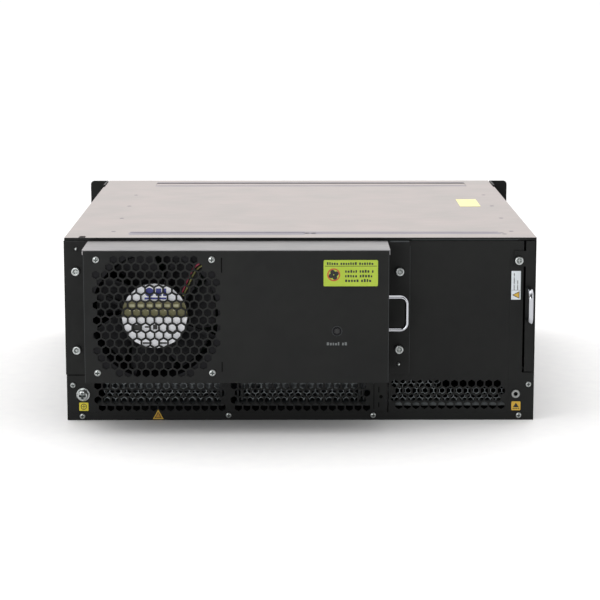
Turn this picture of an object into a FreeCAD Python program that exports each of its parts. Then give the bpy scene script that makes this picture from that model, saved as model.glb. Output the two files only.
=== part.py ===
import FreeCAD, Part

import math
import os

# Modular chassis switch, four rack units high, built as the real one comes apart on a bench.
# Millimetres. +Z is up, the rear faces -Y, and the origin is the centre of the body's underside.
# Most pieces are sheet steel. Two grilles of six-sided cells are flat plates of their own: the
# guard over the fan in the front of the fan tray, and the outlets of the power bays below it.

Vector = FreeCAD.Vector

# Driving dimensions of the body
BODY_WIDTH = 442.0
BODY_DEPTH = 433.0
BODY_HEIGHT = 175.0
SHEET = 1.2
HALF_WIDTH = BODY_WIDTH / 2
INNER_HALF = HALF_WIDTH - SHEET
REAR = -BODY_DEPTH / 2
FRONT = BODY_DEPTH / 2
COVER_UNDER = BODY_HEIGHT - SHEET
LIP_HEIGHT = 7.6  # rear lip of the base pan
SHELF_TOP = 44.4  # floor of the card cage, roof of the power bays
SEAM_X = 82.9  # seam between the two rear panels
SEAM_GAP = 1.0
BAY_TOP = 46.0  # top edge of the lower rear panels
CLEAR = 0.3  # gap round everything that slides
BAY_Z = (SHEET + CLEAR, SHELF_TOP - SHEET - CLEAR)

# Card cage, between its two perforated walls
CAGE_LEFT = -178.5
CAGE_RIGHT = 201.7
CARD_DEPTH = 321.0
CARD_ROWS = 4
ROW_PITCH = 32.1
ROW_HEIGHT = 31.5
FACE_THICK = 2.0
BACKPLANE_Y = -120.0
CONTROL_X = (CAGE_LEFT + CAGE_RIGHT) / 2

# Rack ears, to the 19-inch standard
EAR_SPAN = 482.6
EAR_THICK = 2.0
EAR_CORNER = 4.0
EAR_LEG_BACK = 176.0
RACK_HOLE_SPAN = 465.1
RACK_SLOT_HEIGHTS = (36.7, 138.3)
RACK_SLOT_LENGTH = 10.0
RACK_SLOT_WIDTH = 6.8

# Honeycomb cells stand on a point, so their flats are upright
CELL_PITCH = 8.1
CELL_FLATS = 6.5
CELL_ROW = CELL_PITCH * math.sqrt(3) / 2
CELL_CORNER = CELL_FLATS / math.sqrt(3)
OUTLET_ROWS = 4

# Fan tray
FLANGE_THICK = 1.5
FLANGE_BACK = REAR - FLANGE_THICK
FLANGE = (-221.4, 103.0, 44.6, 172.4)  # x low, x high, z low, z high
BOX = (-198.4, 81.2, 49.0, 172.5)
BOX_BACK = REAR - 56.0
PINS = ((-209.9, 164.8), (92.6, 54.3))
PIN_RADIUS = 1.5
LID_SHEET = 0.8
LID_LIP = 4.5
FAN_X = -133.4
FAN_Z = 111.1
FAN_SIZE = 120.0
FAN_DEPTH = 38.0
FAN_HOLE_SPACING = 105.0
DUCT_RADIUS = 58.5
DUCT_SIDES = 28
SEAT_RADIUS = 31.0
SEAT_SIDES = 20
HUB_RADIUS = 30.5
SHAFT_RADIUS = 2.0
BLADES = 7
GUARD_ROWS = 16
BOARD_BACK = BOX_BACK + 10.5
BOARD_THICK = 1.6
LAMP_X = 33.1
LAMP_Z = 97.5
LABEL_THICK = 0.2
GUARD_RADIUS = 66.0

# Air filter, which slides along the right-hand wall
FILTER_LEFT = 212.2
FILTER_RIGHT = 218.8
FILTER_LOW = 48.5
FILTER_HIGH = 170.5
FILTER_LENGTH = 366.0

# Bar of the two bow handles
BAR = 3.3
BOW_BEND = 8.0
BEND_CHORDS = 4  # straight chords in a quarter turn of a handle or in a bend of a lead

# Small parts on the rear, by (x, z)
STRIP_EDGE = 197.0  # the right-hand panel's outlet ends before this line
JACK = (203.8, 25.4)
JACK_BARREL = 3.4
GROUND = (-205.8, 25.0)
PANEL_SCREWS = ((-206.8, 3.8), (-68.2, 4.6), (68.9, 4.6), (206.9, 4.5), (-215.2, 34.0), (215.7, 34.5))
CAPTIVE_SCREWS = {
    "captive_screw_upper_left": (-210.3, 143.9),
    "captive_screw_lower_left": (-210.5, 68.7),
    "captive_screw_upper_right": (93.0, 143.5),
    "captive_screw_lower_right": (92.8, 69.2),
}
CAPTIVE_RADIUS = 3.9
FILTER_SCREW = (204.5, 153.9)
PANEL_TOP = 172.0
FILTER_EDGE = 209.4


def block(x, y, z):
    """A box from three (low, high) pairs."""
    corner = Vector(x[0], y[0], z[0])
    return Part.makeBox(x[1] - x[0], y[1] - y[0], z[1] - z[0], corner)


def closed_wire(points):
    return Part.makePolygon(points + [points[0]])


def plate_y(outline, y, holes=()):
    """A flat plate from an (x, z) outline, with (x, z) outlines of holes, between two y values."""
    wires = [closed_wire([Vector(px, y[0], pz) for px, pz in loop]) for loop in [outline, *holes]]
    face = Part.makeFace(wires, "Part::FaceMakerBullseye")
    return face.extrude(Vector(0, y[1] - y[0], 0))


def plate_x(outline, x):
    """A flat plate from a (y, z) outline, between two x values."""
    face = Part.Face(closed_wire([Vector(x[0], py, pz) for py, pz in outline]))
    return face.extrude(Vector(x[1] - x[0], 0, 0))


def rectangle(x, z):
    return [(x[0], z[0]), (x[1], z[0]), (x[1], z[1]), (x[0], z[1])]


def polygon(x, z, radius, sides):
    """Corners of a regular polygon that stands on a point."""
    turns = [2 * math.pi * step / sides for step in range(sides)]
    return [(x + radius * math.sin(turn), z + radius * math.cos(turn)) for turn in turns]


def bend(a, b, radius, start, turn):
    """Points round a bend about (a, b), from a start angle through a turn, both in degrees."""
    angles = [math.radians(start + turn * step / BEND_CHORDS) for step in range(BEND_CHORDS + 1)]
    return [(a + radius * math.cos(angle), b + radius * math.sin(angle)) for angle in angles]


def rod_y(x, z, radius, y):
    return Part.makeCylinder(radius, y[1] - y[0], Vector(x, y[0], z), Vector(0, 1, 0))


def head_y(x, z, radius, y, sides=6):
    """A screw's head as a many-sided prism, since there are so many of them."""
    return plate_y(polygon(x, z, radius, sides), y)


def cell_row(first_x, count, z):
    """One row of honeycomb cells, pitch apart."""
    return [(first_x + CELL_PITCH * step, z) for step in range(count)]


def cell_holes(centres):
    return [polygon(x, z, CELL_CORNER, 6) for x, z in centres]


def save(name, *solids):
    """Writes one node. Like pieces that are fixed the same way share it as separate solids."""
    shape = solids[0] if len(solids) == 1 else Part.makeCompound(list(solids))
    shape.exportStep(os.path.join("parts", name + ".step"))
    print(f"{name}: {len(shape.Solids)} solid, {shape.Volume / 1000:.2f} cm3, valid {shape.isValid()}")


# The body: base, walls and cover


def base_pan():
    """Floor with a low lip folded up along the rear."""
    profile = [
        (REAR, 0),
        (FRONT, 0),
        (FRONT, SHEET),
        (REAR + SHEET, SHEET),
        (REAR + SHEET, LIP_HEIGHT),
        (REAR, LIP_HEIGHT),
    ]
    return plate_x(profile, (-INNER_HALF, INNER_HALF))


def side_wall(side, windows):
    """An upright wall. The right-hand one has the openings that the air filter lies behind."""
    x = sorted((side * INNER_HALF, side * HALF_WIDTH))
    wall = block(x, (REAR, FRONT), (0, COVER_UNDER))
    window_width = 34.0
    window_pitch = 52.0
    for step in range(windows):
        start = -186.0 + window_pitch * step
        wall = wall.cut(block((x[0] - 1, x[1] + 1), (start, start + window_width), (60.0, 160.0)))
    return wall


def top_cover():
    """Flat sheet with two shallow pressed beads, a thumb notch at the rear and a narrower front."""
    front_strip = 60.0
    front_inset = 1.3
    notch_x = -204.7
    notch_radius = 3.1
    notch_depth = 9.0
    bead_x = (-163.0, 190.0)
    bead_depth = 0.5
    outline = [
        (-HALF_WIDTH, REAR + SHEET),
        (HALF_WIDTH, REAR + SHEET),
        (HALF_WIDTH, FRONT - front_strip),
        (HALF_WIDTH - front_inset, FRONT - front_strip),
        (HALF_WIDTH - front_inset, FRONT),
        (front_inset - HALF_WIDTH, FRONT),
        (front_inset - HALF_WIDTH, FRONT - front_strip),
        (-HALF_WIDTH, FRONT - front_strip),
    ]
    face = Part.Face(closed_wire([Vector(x, y, COVER_UNDER) for x, y in outline]))
    cover = face.extrude(Vector(0, 0, SHEET))
    notch_end = Part.makeCylinder(notch_radius, 9, Vector(notch_x, REAR + notch_depth, COVER_UNDER - 4))
    notch_slot = block(
        (notch_x - notch_radius, notch_x + notch_radius),
        (REAR, REAR + notch_depth),
        (COVER_UNDER - 4, COVER_UNDER + 5),
    )
    cover = cover.cut(notch_end.fuse(notch_slot))
    for bead in ((REAR + 23.0, REAR + 33.0), (REAR + 381.0, REAR + 416.0)):
        cover = cover.cut(block(bead_x, bead, (BODY_HEIGHT - bead_depth, BODY_HEIGHT + 1)))
    return cover


def rear_header():
    """Folded strip that ties the walls together over the rear opening."""
    flange = block((-INNER_HALF, INNER_HALF), (REAR, REAR + 13.5), (COVER_UNDER - SHEET, COVER_UNDER))
    lip = block((-HALF_WIDTH, HALF_WIDTH), (REAR, REAR + SHEET), (COVER_UNDER, BODY_HEIGHT))
    return flange.fuse(lip).removeSplitter()


# The rear panels and their outlets


def rear_vent_panel():
    """Lower left panel: the outlets of two power bays, with a solid post between them."""
    cells = []
    for row in range(OUTLET_ROWS):
        z = 12.4 + CELL_ROW * row
        shift = CELL_PITCH / 2 * (row % 2)
        cells += cell_row(-187.8 - shift, 15, z)
        cells += cell_row(-58.8 - shift, 16, z)
    outline = rectangle((-INNER_HALF, SEAM_X - SEAM_GAP / 2), (LIP_HEIGHT, BAY_TOP))
    return plate_y(outline, (REAR, REAR + SHEET), cell_holes(cells))


def rear_side_panel():
    """Right-hand panel beside the fan tray, with an outlet in its foot."""
    left = SEAM_X + SEAM_GAP / 2
    cells = []
    for row in range(OUTLET_ROWS):
        cells += cell_row(93.2 - CELL_PITCH / 2 * (row % 2), 13, 14.2 + CELL_ROW * row)
    outline = rectangle((left, STRIP_EDGE), (LIP_HEIGHT, PANEL_TOP))
    return plate_y(outline, (REAR, REAR + SHEET), cell_holes(cells))


def rear_side_strip():
    """The panel's plain outer strip: it goes round the filter's slot and holds the socket."""
    outline = [
        (STRIP_EDGE, LIP_HEIGHT),
        (INNER_HALF, LIP_HEIGHT),
        (INNER_HALF, BAY_TOP),
        (FILTER_EDGE, BAY_TOP),
        (FILTER_EDGE, PANEL_TOP),
        (STRIP_EDGE, PANEL_TOP),
    ]
    return plate_y(outline, (REAR, REAR + SHEET), [polygon(*JACK, JACK_BARREL, 6)])


def wrist_strap_jack(x, z):
    """A 4 mm socket: a round collar on the panel and a six-sided barrel behind it."""
    collar = head_y(x, z, 3.95, (REAR - 1.5, REAR), 12)
    barrel = head_y(x, z, JACK_BARREL, (REAR, REAR + 14.0), 6)
    bore = rod_y(x, z, 2.0, (REAR - 2, REAR + 12.0))
    return collar.fuse(barrel).cut(bore)


def ground_screw(x, z):
    """Earthing screw, a tall head on a washer."""
    washer = head_y(x, z, 6.4, (REAR - 1.0, REAR), 12)
    head = head_y(x, z, 5.25, (REAR - 8.0, REAR - 1.0), 12)
    return washer.fuse(head)


# Inside the body


def cage_wall(x):
    """A wall of the card cage, with a wide opening that lets the cooling air cross the cards."""
    wall = block((x, x + SHEET), (BACKPLANE_Y, FRONT - 20), (SHELF_TOP, COVER_UNDER))
    return wall.cut(block((x - 1, x + SHEET + 1), (BACKPLANE_Y + 30, FRONT - 60), (SHELF_TOP + 12, COVER_UNDER - 12)))


def row_bottom(row):
    return SHELF_TOP + 0.7 + ROW_PITCH * row


def card_guides():
    """A rail on each cage wall under each card's edges, and one on a web between the control units."""
    length = (BACKPLANE_Y + 4, FRONT - 22)
    middle_z = row_bottom(0) + 3.0
    middle_rail = block((CONTROL_X - 4, CONTROL_X + 4), length, (middle_z, middle_z + 1.8))
    web = block((CONTROL_X - 0.6, CONTROL_X + 0.6), length, (SHELF_TOP, middle_z))
    rails = [middle_rail.fuse(web)]
    for row in range(CARD_ROWS):
        z = row_bottom(row) + 3.0
        for x in ((CAGE_LEFT, CAGE_LEFT + 4.0), (CAGE_RIGHT - 4.0, CAGE_RIGHT)):
            rails.append(block(x, length, (z, z + 1.8)))
    return rails


def backplane_connectors():
    """Two headers for each row, where the cards plug in."""
    headers = []
    for row in range(CARD_ROWS):
        z = row_bottom(row) + 3.6
        for x in (-110.0, 90.0):
            headers.append(block((x, x + 60.0), (BACKPLANE_Y + 3, BACKPLANE_Y + 15), (z, z + 10.0)))
    return headers


# Rack ears


def slot_wire(x, y, z):
    """A slot's outline: two straight runs and two half-round ends."""
    reach = (RACK_SLOT_LENGTH - RACK_SLOT_WIDTH) / 2
    radius = RACK_SLOT_WIDTH / 2
    low_left = Vector(x - reach, y, z - radius)
    low_right = Vector(x + reach, y, z - radius)
    high_right = Vector(x + reach, y, z + radius)
    high_left = Vector(x - reach, y, z + radius)
    right_end = Part.Arc(low_right, Vector(x + reach + radius, y, z), high_right).toShape()
    left_end = Part.Arc(high_left, Vector(x - reach - radius, y, z), low_left).toShape()
    low_run = Part.LineSegment(low_left, low_right).toShape()
    high_run = Part.LineSegment(high_right, high_left).toShape()
    return Part.Wire([low_run, right_end, high_run, left_end])


def rack_ear(side):
    """An angle: a leg along the wall and a slotted plate across the rack's post."""
    back = FRONT - EAR_THICK
    wall = side * HALF_WIDTH
    leg = block(sorted((wall, wall + side * EAR_THICK)), (EAR_LEG_BACK, back), (0, BODY_HEIGHT))
    reach = EAR_SPAN / 2 - EAR_CORNER
    top = bend(reach, BODY_HEIGHT - EAR_CORNER, EAR_CORNER, 90, -90)
    bottom = bend(reach, EAR_CORNER, EAR_CORNER, 0, -90)
    outline = [(HALF_WIDTH, 0), (HALF_WIDTH, BODY_HEIGHT), *top, *bottom]
    plate = plate_y([(side * x, z) for x, z in outline], (back, FRONT))
    ear = leg.fuse(plate).removeSplitter()
    for z in RACK_SLOT_HEIGHTS:
        slot = Part.Face(slot_wire(side * RACK_HOLE_SPAN / 2, back - 1, z))
        ear = ear.cut(slot.extrude(Vector(0, EAR_THICK + 2, 0)))
    return ear


def ear_screws(side):
    """Heads that hold an ear's leg to the wall."""
    x = side * (HALF_WIDTH + EAR_THICK)
    heads = []
    for z in (30.0, 145.0):
        heads.append(plate_x(polygon(195.0, z, 4.0, 6), (x, x + side * 1.6)))
    return heads


# Fan tray


def tray_flange():
    """Plate that closes the rear opening, with a window for the box and holes for two pins."""
    window = rectangle((BOX[0] + 2.0, BOX[1] - 2.0), (BOX[2] + SHEET, BOX[3] - 2.0))
    pin_holes = [polygon(x, z, PIN_RADIUS + 0.4, 8) for x, z in PINS]
    left, right, low, high = FLANGE
    corner = 2.5
    top_right = bend(right - corner, high - corner, corner, 0, 90)
    outline = [(left, low), (right, low), *top_right, (left, high)]
    return plate_y(outline, (FLANGE_BACK, REAR), [window, *pin_holes])


def tray_box():
    """Floor and two sides of the box, one folded sheet."""
    left, right = BOX[0] + LID_SHEET, BOX[1] - LID_SHEET
    low, high = BOX[2], BOX[3] - LID_SHEET
    profile = [
        (left, low),
        (right, low),
        (right, high),
        (right - SHEET, high),
        (right - SHEET, low + SHEET),
        (left + SHEET, low + SHEET),
        (left + SHEET, high),
        (left, high),
    ]
    return plate_y(profile, (BOX_BACK + SHEET, FLANGE_BACK))


def guard_cells():
    """Cells of the fan guard: a square field with its corners rounded off by a circle."""
    reach_left = 54.0
    reach_right = 58.0
    cells = []
    for row in range(GUARD_ROWS):
        z = CELL_ROW * (row - (GUARD_ROWS - 1) / 2)
        for step in range(-8, 9):
            x = CELL_PITCH * (step + 0.5 * (row % 2))
            if -reach_left < x < reach_right and math.hypot(x, z) < GUARD_RADIUS:
                cells.append((FAN_X + x, FAN_Z + z))
    return cells


def tray_front(lamp_x, lamp_z):
    """The box's outer plate: the honeycomb guard in front of the fan and a window for the lamp."""
    outline = rectangle((BOX[0] + LID_SHEET, BOX[1] - LID_SHEET), (BOX[2], BOX[3] - LID_SHEET))
    cells = guard_cells()
    print(f"fan guard: {len(cells)} cells")
    holes = cell_holes(cells) + [polygon(lamp_x, lamp_z, 3.0, 8)]
    return plate_y(outline, (BOX_BACK, BOX_BACK + SHEET), holes)


def tray_lid():
    """Bare sheet over the box, with a short lip down each side."""
    left, right, high = BOX[0], BOX[1], BOX[3]
    profile = [
        (left, high - LID_LIP),
        (left + LID_SHEET, high - LID_LIP),
        (left + LID_SHEET, high - LID_SHEET),
        (right - LID_SHEET, high - LID_SHEET),
        (right - LID_SHEET, high - LID_LIP),
        (right, high - LID_LIP),
        (right, high),
        (left, high),
    ]
    return plate_y(profile, (BOX_BACK, FLANGE_BACK))


def bow(length, reach):
    """Outline of a U-shaped handle in its own plane: feet on the u = 0 line, v along its length."""
    inner = BOW_BEND - BAR
    u, low, high = reach - BOW_BEND, BOW_BEND, length - BOW_BEND
    outside = bend(u, low, BOW_BEND, -90, 90) + bend(u, high, BOW_BEND, 0, 90)
    inside = bend(u, high, inner, 90, -90) + bend(u, low, inner, 0, -90)
    return [(0, 0), *outside, (0, length), (0, length - BAR), *inside, (0, BAR)]


def tray_handle():
    """Bow that stands out of the box's right-hand side."""
    side = BOX[1] - LID_SHEET
    outline = [(side + u, 91.6 + v) for u, v in bow(34.7, 100.2 - side)]
    return plate_y(outline, (-250.2, -242.7))


# The fan


def fan_frame():
    """Moulded square frame with a round duct, and four arms that carry the motor's seat."""
    half = FAN_SIZE / 2
    back = BOX_BACK + SHEET
    front = back + FAN_DEPTH
    outline = rectangle((FAN_X - half, FAN_X + half), (FAN_Z - half, FAN_Z + half))
    duct = polygon(FAN_X, FAN_Z, DUCT_RADIUS, DUCT_SIDES)
    frame = plate_y(outline, (back, front), [duct])
    lead_groove = block((FAN_X + 34, FAN_X + half + 1), (back - 1, back + 3.2), (FAN_Z + 42, FAN_Z + 56))
    frame = frame.cut(lead_groove)
    seat = plate_y(polygon(FAN_X, FAN_Z, SEAT_RADIUS, SEAT_SIDES), (back + 2.0, back + 7.0))
    for turn in range(4):
        arm = block((FAN_X + 25, FAN_X + DUCT_RADIUS + 1), (back + 3.0, back + 7.0), (FAN_Z - 2, FAN_Z + 2))
        arm.rotate(Vector(FAN_X, 0, FAN_Z), Vector(0, 1, 0), 20 + 90 * turn)
        seat = seat.fuse(arm)
    frame = frame.fuse(seat)
    bearing = rod_y(FAN_X, FAN_Z, SHAFT_RADIUS + 0.05, (back + 3.0, back + 8.0))
    return frame.cut(bearing)


def fan_rotor():
    """Hub with a flat for each pitched blade, and the shaft that turns in the motor's seat."""
    back = BOX_BACK + SHEET + 8.0
    front = back + 24.0
    half_chord = 12.0
    pitch = 38.0
    rotor = plate_y(polygon(FAN_X, FAN_Z, HUB_RADIUS, 2 * BLADES), (back, front))
    middle = Vector(FAN_X, (back + front) / 2, FAN_Z)
    for step in range(BLADES):
        blade = block(
            (FAN_X + 27.0, FAN_X + 55.0),
            (middle.y - 0.8, middle.y + 0.8),
            (FAN_Z - half_chord, FAN_Z + half_chord),
        )
        blade.rotate(middle, Vector(1, 0, 0), pitch)
        blade.rotate(middle, Vector(0, 1, 0), 360 / BLADES * (step + 0.5))
        rotor = rotor.fuse(blade)
    return rotor.fuse(rod_y(FAN_X, FAN_Z, SHAFT_RADIUS, (back - 4.7, back)))


def lead_line(points, name):
    """Points along a wire: straight runs, and bends in chords, as wide as their runs allow."""
    line = [points[0]]
    for before, corner, after in zip(points, points[1:], points[2:]):
        back = (before - corner).normalize()
        ahead = (after - corner).normalize()
        turn = math.pi - back.getAngle(ahead)
        trim = 0.45 * min((before - corner).Length, (after - corner).Length)
        radius = trim / math.tan(turn / 2)
        centre = corner + (back + ahead).normalize() * (radius / math.cos(turn / 2))
        spoke = corner + back * trim - centre
        for step in range(BEND_CHORDS + 1):
            angle = turn * step / BEND_CHORDS
            line.append(centre + spoke * math.cos(angle) - back * (radius * math.sin(angle)))
        print(f"{name}: bend radius {radius:.1f} mm")
    return line + [points[-1]]


def lead(points, name):
    """A six-sided insulated wire along its line."""
    half_thick = 0.8
    line = lead_line(points, name)
    path = Part.makePolygon(line)
    direction = (line[1] - line[0]).normalize()
    across = direction.cross(Vector(0, 1, 0)).normalize()
    other = direction.cross(across)
    turns = [math.pi / 3 * step for step in range(6)]
    ring = [line[0] + across * (half_thick * math.cos(a)) + other * (half_thick * math.sin(a)) for a in turns]
    mitred = 1
    tube = path.makePipeShell([closed_wire(ring)], True, False, mitred)
    section = 1.5 * math.sqrt(3) * half_thick**2
    print(f"{name}: length {path.Length:.1f} mm, volume ratio {tube.Volume / section / path.Length:.3f}")
    return tube


def lead_route(points):
    """Places (x, y, z) counted from the middle of the fan's outer face."""
    return [Vector(FAN_X + x, BOX_BACK + SHEET + y, FAN_Z + z) for x, y, z in points]


def control_board():
    """Upright board behind the front plate: two spacers hold it, and a header takes the leads."""
    back = BOX_BACK + SHEET
    board = block((-60.0, 60.0), (BOARD_BACK, BOARD_BACK + BOARD_THICK), (BOX[2] + SHEET, 150.0))
    header = block((-56.0, -45.0), (BOARD_BACK - 4.0, BOARD_BACK), (138.0, 146.0))
    board = board.fuse(header)
    for x in (-44.0, 50.0):
        board = board.fuse(block((x, x + 8.0), (back, BOARD_BACK), (62.0, 70.0)))
    return board


# Air filter


def filter_front():
    """Narrow strip that closes the filter's slot, with an ear for its screw."""
    left, right, low = 211.2, 219.5, 47.0
    ear_left, ear_low, ear_high = 200.2, 147.7, 162.5
    outline = [
        (left, low),
        (right, low),
        (right, PANEL_TOP),
        (left, PANEL_TOP),
        (left, ear_high),
        (ear_left, ear_high),
        (ear_left, ear_low),
        (left, ear_low),
    ]
    return plate_y(outline, (REAR - SHEET, REAR))


def filter_frame():
    rim = 8.0
    frame = block((FILTER_LEFT, FILTER_RIGHT), (REAR, REAR + FILTER_LENGTH), (FILTER_LOW, FILTER_HIGH))
    return frame.cut(
        block(
            (FILTER_LEFT - 1, FILTER_RIGHT + 1),
            (REAR + rim, REAR + FILTER_LENGTH - rim),
            (FILTER_LOW + rim, FILTER_HIGH - rim),
        )
    )


def filter_media():
    rim = 8.0
    return block(
        (FILTER_LEFT + 1, FILTER_RIGHT - 1),
        (REAR + rim, REAR + FILTER_LENGTH - rim),
        (FILTER_LOW + rim, FILTER_HIGH - rim),
    )


def filter_handle():
    """Bow that stands straight out of the strip."""
    outline = [(REAR - SHEET - u, 96.2 + v) for u, v in bow(33.4, 25.0)]
    return plate_x(outline, (211.4, 215.9))


# Modules that slide out of the front


def card(x, row):
    """A card: its board, resting on the guides, and the plate that closes its slot."""
    z = row_bottom(row)
    board_low = z + 5.1
    plate = block(x, (FRONT - FACE_THICK, FRONT), (z, z + ROW_HEIGHT))
    board = block(
        (x[0] + 1.5, x[1] - 1.5), (FRONT - CARD_DEPTH, FRONT - FACE_THICK), (board_low, board_low + 1.6)
    )
    card_solid = plate.fuse(board)
    for lug_x in (x[0] + 8.0, x[1] - 12.0):
        lug = block((lug_x, lug_x + 4.0), (FRONT, FRONT + 14.0), (z + 9.0, z + 23.0))
        card_solid = card_solid.fuse(lug)
    return card_solid


def power_module(x):
    """A closed metal case with a pull bar across its front."""
    middle = (x[0] + x[1]) / 2
    half_bar = 32.0
    reach = 22.0
    thick = 5.0
    case = block(x, (FRONT - CARD_DEPTH, FRONT), BAY_Z)
    bar = block((middle - half_bar, middle + half_bar), (FRONT, FRONT + reach), (16.0, 28.0))
    grip = half_bar - thick
    hollow = block((middle - grip, middle + grip), (FRONT, FRONT + reach - thick), (15.0, 29.0))
    return case.fuse(bar.cut(hollow))


def build():
    os.makedirs("parts", exist_ok=True)

    save("base_pan", base_pan())
    save("side_wall_left", side_wall(-1, 0))
    save("side_wall_right", side_wall(1, 6))
    save("top_cover", top_cover())
    save("rear_header", rear_header())
    save("rear_jamb", block((-INNER_HALF, -201.0), (REAR, REAR + SHEET), (BAY_TOP, COVER_UNDER - SHEET)))
    save("rear_vent_panel", rear_vent_panel())

    save("rear_side_panel", rear_side_panel())
    save("rear_side_strip", rear_side_strip())
    save("wrist_strap_jack", wrist_strap_jack(*JACK))
    save("ground_screw", ground_screw(*GROUND))

    save("locating_pins", *[head_y(x, z, PIN_RADIUS, (FLANGE_BACK - 1.5, REAR)) for x, z in PINS])
    save("panel_screws", *[head_y(x, z, 2.6, (REAR - 1.5, REAR)) for x, z in PANEL_SCREWS])

    save("rack_ear_left", rack_ear(-1))
    save("rack_ear_right", rack_ear(1))
    save("ear_screws", *ear_screws(-1), *ear_screws(1))

    shelf_z = (SHELF_TOP - SHEET, SHELF_TOP)
    save("shelf", block((-INNER_HALF, INNER_HALF), (REAR + 15, FRONT - SHEET), shelf_z))
    bay_walls = [
        block((x - SHEET / 2, x + SHEET / 2), (REAR + 15, FRONT - 20), (SHEET, SHELF_TOP - SHEET))
        for x in (-68.2, SEAM_X)
    ]
    save("bay_walls", *bay_walls)
    save("cage_walls", cage_wall(CAGE_LEFT - SHEET), cage_wall(CAGE_RIGHT))
    save("card_guides", *card_guides())
    save(
        "backplane_board",
        block((CAGE_LEFT, CAGE_RIGHT), (BACKPLANE_Y, BACKPLANE_Y + 3), (SHELF_TOP, COVER_UNDER)),
    )
    save("backplane_connectors", *backplane_connectors())
    front_y = (FRONT - SHEET, FRONT)
    save(
        "front_jambs",
        block((-INNER_HALF, CAGE_LEFT - SHEET), front_y, (SHELF_TOP, COVER_UNDER)),
        block((CAGE_RIGHT + SHEET, INNER_HALF), front_y, (SHELF_TOP, COVER_UNDER)),
        block((-INNER_HALF, -200.4), front_y, (SHEET, SHELF_TOP - SHEET)),
    )
    guide_x = (FILTER_LEFT - 1, INNER_HALF)
    save(
        "filter_guides",
        block(guide_x, (REAR + 15, REAR + FILTER_LENGTH), (SHELF_TOP, FILTER_LOW - CLEAR)),
        block(guide_x, (REAR + 15, REAR + FILTER_LENGTH), (FILTER_HIGH + CLEAR, COVER_UNDER)),
    )

    save("tray_flange", tray_flange())
    save("tray_box", tray_box())
    save("tray_front", tray_front(LAMP_X, LAMP_Z))
    save("tray_lid", tray_lid())
    save("tray_handle", tray_handle())
    save("control_board", control_board())
    save("status_lens", head_y(LAMP_X, LAMP_Z, 2.7, (BOX_BACK - 0.4, BOARD_BACK)))
    plug_y = (BOARD_BACK + BOARD_THICK, REAR + 12.0)
    save("tray_plug", block((0.0, 50.0), plug_y, (58.0, 70.0)))

    save("fan_frame", fan_frame())
    save("fan_rotor", fan_rotor())
    seat_back = BOX_BACK + SHEET + 2.0
    label_disc = polygon(FAN_X, FAN_Z, 30.0, SEAT_SIDES)
    save("motor_label", plate_y(label_disc, (seat_back - LABEL_THICK, seat_back)))
    spread = FAN_HOLE_SPACING / 2
    corners = [(FAN_X + a * spread, FAN_Z + b * spread) for a in (-1, 1) for b in (-1, 1)]
    save("fan_screws", *[head_y(x, z, 3.05, (BOX_BACK - 1.6, BOX_BACK)) for x, z in corners])
    red = ((24.9, 3.2, 20.6), (37.6, 1.6, 49.6), (62.0, 1.6, 53.0), (79.4, 7.3, 48.0), (81.4, 7.3, 35.2))
    black = ((26.3, 3.2, 18.4), (39.9, 1.6, 47.2), (62.0, 1.6, 50.6), (77.2, 7.3, 45.6), (79.0, 7.3, 35.2))
    save("fan_lead_red", lead(lead_route(red), "fan_lead_red"))
    save("fan_lead_black", lead(lead_route(black), "fan_lead_black"))

    for name, (x, z) in CAPTIVE_SCREWS.items():
        save(name, head_y(x, z, CAPTIVE_RADIUS, (FLANGE_BACK - 5.0, FLANGE_BACK)))

    save("filter_front", filter_front())
    save("filter_frame", filter_frame())
    save("filter_media", filter_media())
    save("filter_handle", filter_handle())
    save("filter_screw", head_y(*FILTER_SCREW, CAPTIVE_RADIUS, (REAR - SHEET - 4.5, REAR - SHEET)))

    full = (CAGE_LEFT + CLEAR, CAGE_RIGHT - CLEAR)
    save("control_unit_left", card((full[0], CONTROL_X - CLEAR), 0))
    save("control_unit_right", card((CONTROL_X + CLEAR, full[1]), 0))
    for row in (1, 2, 3):
        save(f"line_card_{row}", card(full, row))
    save("power_module_left", power_module((-200.0, -69.2)))
    save("power_module_right", power_module((-67.2, 81.9)))
    save("power_bay_cover", block((83.9, 219.0), (FRONT - SHEET, FRONT), BAY_Z))

    label_back = (BOX_BACK - LABEL_THICK, BOX_BACK)
    save("tray_label", block((20.7, 70.1), label_back, (139.1, 163.2)))
    save("cover_label", block((168.0, 189.5), (REAR + 212, REAR + 268), (BODY_HEIGHT, BODY_HEIGHT + LABEL_THICK)))
    panel_back = (REAR - LABEL_THICK, REAR)
    save("side_label", block((198.0, 206.8), panel_back, (116.1, 143.4)))
    earth_label = block((-209.7, -201.0), panel_back, (9.1, 17.1))
    socket_label = block((200.0, 208.6), panel_back, (9.3, 17.9))
    save("panel_labels", earth_label, socket_label)
    triangle = [(-140.1, 1.0), (-129.9, 1.0), (-135.0, 10.4)]
    save("triangle_label", plate_y(triangle, panel_back))


build()
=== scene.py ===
# %% [markdown]
# A modular chassis switch seen from its rear: four rack units of folded sheet steel, a fan tray
# that stands out on the left, a narrow air filter on the right and three honeycomb outlets along
# the bottom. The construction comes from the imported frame. This lesson dresses it: finishes first,
# then the small parts that the frame keeps plain, each worked out as a surface with numpy.

# %% Load the frame
import math

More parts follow.
